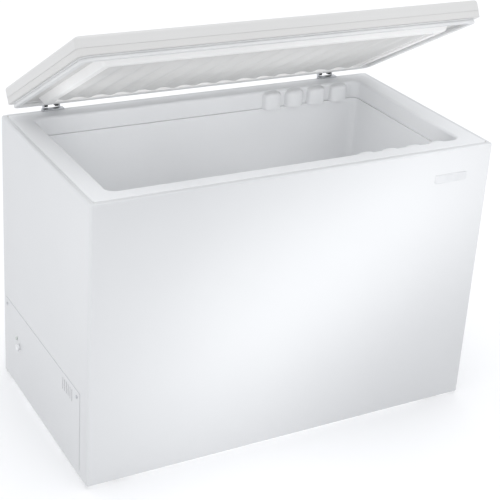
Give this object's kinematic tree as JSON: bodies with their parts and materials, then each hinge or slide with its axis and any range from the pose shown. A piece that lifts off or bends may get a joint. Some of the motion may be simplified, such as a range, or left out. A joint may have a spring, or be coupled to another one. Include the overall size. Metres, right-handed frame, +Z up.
{
  "type": "chest freezer",
  "caption": "White chest freezer with a hinged, ribbed top lid standing part open over a deep insulated tank with a stepped floor; compressor bay at the left end.",
  "frame": {"origin": "on the floor under the middle of the cabinet's footprint", "axes": "+X to the freezer's right seen from the front, +Y to its back, +Z up; the front faces -Y"},
  "size_m": [1.1264, 0.6237, 1.1055],
  "materials": {
    "white_paint": "gloss",
    "rim_plastic": "satin",
    "lid_plastic": "satin",
    "tank_white": "satin",
    "gasket_vinyl": "matte",
    "foam": "matte",
    "zinc": "satin",
    "copper": "satin",
    "black_enamel": "gloss",
    "black_plastic": "matte",
    "black_rubber": "matte",
    "lamp_lens": "gloss"
  },
  "bodies": {
    "cabinet": {"cabinet_wrapper": "white_paint", "back_panel": "white_paint", "service_cover": "white_paint", "rear_vent_cover": "white_paint", "breaker_frame": "rim_plastic", "badge": "rim_plastic", "drain_tube": "lid_plastic", "liner": "tank_white", "cabinet_foam": "foam", "bottom_panel": "zinc", "front_base_rail": "zinc", "rear_base_rail": "zinc", "compressor_base_plate": "zinc", "service_cover_screw_1": "zinc", "service_cover_screw_2": "zinc", "rear_cover_screw_1": "zinc", "rear_cover_screw_2": "zinc", "hinge_base_left": "zinc", "hinge_base_right": "zinc", "hinge_pin_left": "zinc", "hinge_pin_right": "zinc", "discharge_tube": "copper", "condenser_tube": "copper", "filter_drier": "copper", "capillary_tube": "copper", "evaporator_tube": "copper", "suction_tube": "copper", "compressor_lower_shell": "black_enamel", "compressor_upper_shell": "black_enamel", "foot_front_left": "black_plastic", "foot_front_right": "black_plastic", "foot_rear_left": "black_plastic", "foot_rear_right": "black_plastic", "terminal_cover": "black_plastic", "cord_gland": "black_plastic", "thermostat_body": "black_plastic", "hinge_bushing_left_1": "black_plastic", "hinge_bushing_left_2": "black_plastic", "hinge_bushing_right_1": "black_plastic", "hinge_bushing_right_2": "black_plastic", "compressor_grommet_1": "black_rubber", "compressor_grommet_2": "black_rubber", "compressor_grommet_3": "black_rubber", "compressor_grommet_4": "black_rubber", "pilot_lamp": "lamp_lens"},
    "lid": {"lid_skin": "white_paint", "lid_frame": "lid_plastic", "lid_foam": "foam", "lid_inner_panel": "lid_plastic", "lid_gasket": "gasket_vinyl", "hinge_leaf_left": "zinc", "hinge_leaf_right": "zinc"},
    "thermostat_dial": {"thermostat_shaft": "zinc", "thermostat_knob": "rim_plastic"},
    "drain_plug": {"drain_plug": "rim_plastic"},
    "drain_cap": {"drain_cap": "rim_plastic"}
  },
  "joints": [
    {"name": "lid_hinge", "type": "hinge", "parent": "cabinet", "child": "lid", "pos_m": [0, 0.3145, 0.778], "axis": [-1, 0, 0], "range_deg": [-30, 50]},
    {"name": "thermostat_turn", "type": "hinge", "parent": "cabinet", "child": "thermostat_dial", "pos_m": [-0.56, 0.177, 0.142], "axis": [-1, 0, 0], "range_deg": [-135, 135]},
    {"name": "drain_plug_pull", "type": "slide", "parent": "cabinet", "child": "drain_plug", "axis": [0, 0, 1], "range_m": [0, 0.03]},
    {"name": "drain_cap_pull", "type": "slide", "parent": "cabinet", "child": "drain_cap", "axis": [0, 1, 0], "range_m": [0, 0.02]}
  ]
}
